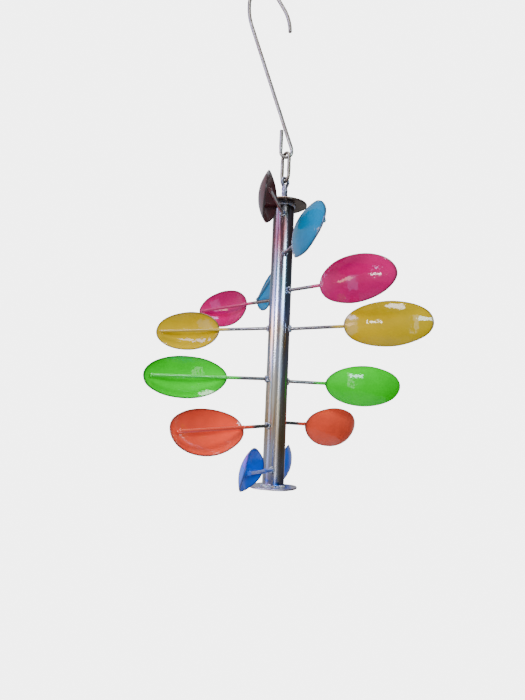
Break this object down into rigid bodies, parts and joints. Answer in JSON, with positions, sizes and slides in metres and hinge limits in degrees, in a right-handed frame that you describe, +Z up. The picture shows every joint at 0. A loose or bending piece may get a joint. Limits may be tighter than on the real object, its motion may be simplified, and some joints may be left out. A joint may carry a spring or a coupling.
{
  "type": "hanging wind spinner",
  "caption": "Hanging wind spinner: upright steel tube with a helix of dished oval paddles, turning on a swivel under a chain link and an S hook.",
  "frame": {"origin": "on the vertical load line, level with the end of the S hook's short leg, where the hook bears on its support", "axes": "+Z up along the load line and the spin axis, -Y the front, +X to the right in the plane of the hook"},
  "size_m": [0.3197, 0.3114, 0.6165],
  "materials": {
    "hook_steel": "satin zinc plate, dull",
    "link_steel": "weathered bare steel",
    "galvanised_steel": "rough hot-dip zinc over weld lumps",
    "bronze": "sintered bronze, oiled",
    "bearing_steel": "ground bearing steel",
    "fastener_steel": "zinc plated",
    "tube_steel": "heat-tinted steel under clear lacquer",
    "burnt_steel": "scorched steel under clear lacquer",
    "disc_steel": "torch-cut steel plate, lilac heat tint",
    "rod_steel": "dark bare rod with overspray near the paddle",
    "maroon_enamel": "glossy maroon enamel on sheet steel",
    "cyan_enamel": "glossy cyan enamel on sheet steel",
    "magenta_enamel": "glossy magenta enamel on sheet steel",
    "yellow_enamel": "glossy yellow enamel on sheet steel",
    "green_enamel": "glossy green enamel on sheet steel",
    "orange_enamel": "glossy orange enamel on sheet steel",
    "blue_enamel": "glossy blue enamel on sheet steel"
  },
  "bodies": {
    "hook": {"s_hook": "hook_steel"},
    "link": {"chain_link": "link_steel"},
    "swivel": {"swivel_shaft": "galvanised_steel", "lower_race": "bearing_steel", "thrust_washer": "fastener_steel", "lock_nut": "fastener_steel"},
    "ball_ring": {"bearing_balls": "bearing_steel", "ball_cage": "bronze"},
    "rotor": {"upper_race": "bearing_steel", "pivot_bush": "bronze", "top_disc": "burnt_steel", "spinner_tube": "tube_steel", "bottom_disc": "disc_steel", "arm_maroon_a": "rod_steel", "arm_maroon_b": "rod_steel", "arm_cyan_a": "rod_steel", "arm_cyan_b": "rod_steel", "arm_magenta_a": "rod_steel", "arm_magenta_b": "rod_steel", "arm_yellow_a": "rod_steel", "arm_yellow_b": "rod_steel", "arm_green_a": "rod_steel", "arm_green_b": "rod_steel", "arm_orange_a": "rod_steel", "arm_orange_b": "rod_steel", "arm_blue_a": "rod_steel", "arm_blue_b": "rod_steel", "paddle_maroon_a": "maroon_enamel", "paddle_maroon_b": "maroon_enamel", "paddle_cyan_a": "cyan_enamel", "paddle_cyan_b": "cyan_enamel", "paddle_magenta_a": "magenta_enamel", "paddle_magenta_b": "magenta_enamel", "paddle_yellow_a": "yellow_enamel", "paddle_yellow_b": "yellow_enamel", "paddle_green_a": "green_enamel", "paddle_green_b": "green_enamel", "paddle_orange_a": "orange_enamel", "paddle_orange_b": "orange_enamel", "paddle_blue_a": "blue_enamel", "paddle_blue_b": "blue_enamel"}
  },
  "joints": [
    {"name": "link_swing", "type": "hinge", "parent": "hook", "child": "link", "pos_m": [0, 0, -0.1625], "axis": [1, 0, 0], "range_deg": [-15, 15]},
    {"name": "eye_swing", "type": "hinge", "parent": "link", "child": "swivel", "pos_m": [0, 0, -0.1932], "axis": [0.5446, -0.8387, 0], "range_deg": [-30, 30]},
    {"name": "rotor_spin", "type": "hinge", "parent": "swivel", "child": "rotor", "pos_m": [0, 0, -0.2241], "axis": [0, 0, 1], "continuous": true},
    {"name": "ball_ring_spin", "type": "hinge", "parent": "swivel", "child": "ball_ring", "pos_m": [0, 0, -0.2276], "axis": [0, 0, 1], "continuous": true}
  ],
  "couplings": [
    {"joint": "ball_ring_spin", "follows": "rotor_spin", "ratio": 0.5}
  ]
}
